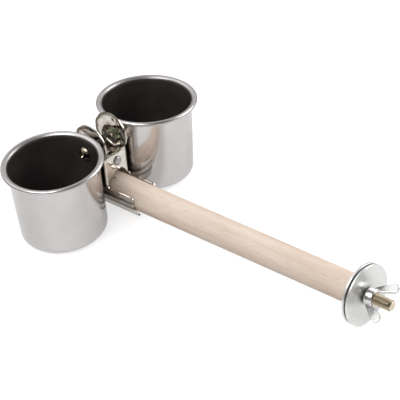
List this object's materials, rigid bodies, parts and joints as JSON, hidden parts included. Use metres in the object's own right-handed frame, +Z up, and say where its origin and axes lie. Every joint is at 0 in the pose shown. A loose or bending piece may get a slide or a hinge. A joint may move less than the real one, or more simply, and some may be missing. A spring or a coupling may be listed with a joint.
{
  "type": "bird perch with feeding cups",
  "caption": "Wooden bird perch with steel feeding cups on a spring clip that slides along it, and a wing-nut fixing for a cage wall.",
  "frame": {"origin": "on the axis of the perch and its stud, at the cage-side face of the inner washer", "axes": "+X along the perch, out through the cage wall; +Z up, the way the cups open; +Y to the right-hand cup"},
  "size_m": [0.2188, 0.125, 0.0541],
  "materials": {
    "wood": "bare turned beech, sanded",
    "yellow_zinc": "yellow-passivated zinc on steel",
    "zinc": "bright zinc plate",
    "nickel": "polished nickel plate",
    "pin_steel": "plated steel",
    "spring_steel": "drawn spring wire, plated",
    "cup_steel": "pressed stainless steel, soft polish",
    "screw_steel": "plated steel"
  },
  "bodies": {
    "perch": {"perch_dowel": "wood", "hanger_bolt": "yellow_zinc", "inner_washer": "zinc"},
    "clip": {"pivot_pin": "pin_steel", "torsion_spring": "spring_steel"},
    "left_side": {"left_jaw": "nickel", "left_cup": "cup_steel", "left_cup_screw": "screw_steel", "left_cup_nut": "screw_steel"},
    "right_side": {"right_jaw": "nickel", "right_cup": "cup_steel", "right_cup_screw": "screw_steel", "right_cup_nut": "screw_steel"},
    "clamp_washer": {"outer_washer": "zinc"},
    "clamp_nut": {"wing_nut": "zinc"}
  },
  "joints": [
    {"name": "clip_slide", "type": "slide", "parent": "perch", "child": "clip", "axis": [1, 0, 0], "range_m": [0, 0.138]},
    {"name": "left_jaw_open", "type": "hinge", "parent": "clip", "child": "left_side", "pos_m": [-0.1719, 0, 0.01654], "axis": [-1, 0, 0], "range_deg": [0, 17], "stiffness_Nm_per_rad": 0.62, "springref_deg": -29.79, "deforming": ["torsion_spring"]},
    {"name": "right_jaw_open", "type": "hinge", "parent": "clip", "child": "right_side", "pos_m": [-0.1719, 0, 0.01654], "axis": [1, 0, 0], "range_deg": [0, 17], "stiffness_Nm_per_rad": 0.62, "springref_deg": -29.79},
    {"name": "washer_slide", "type": "slide", "parent": "perch", "child": "clamp_washer", "axis": [1, 0, 0], "range_m": [0, 0.01]},
    {"name": "wing_nut_spin", "type": "hinge", "parent": "clamp_washer", "child": "clamp_nut", "pos_m": [0.0024, 0, 0], "axis": [1, 0, 0], "range_deg": [0, 3600.1]}
  ],
  "couplings": [
    {"joint": "right_jaw_open", "follows": "left_jaw_open", "ratio": 1},
    {"joint": "wing_nut_spin", "follows": "washer_slide", "rad_per_m": 6283.2}
  ]
}
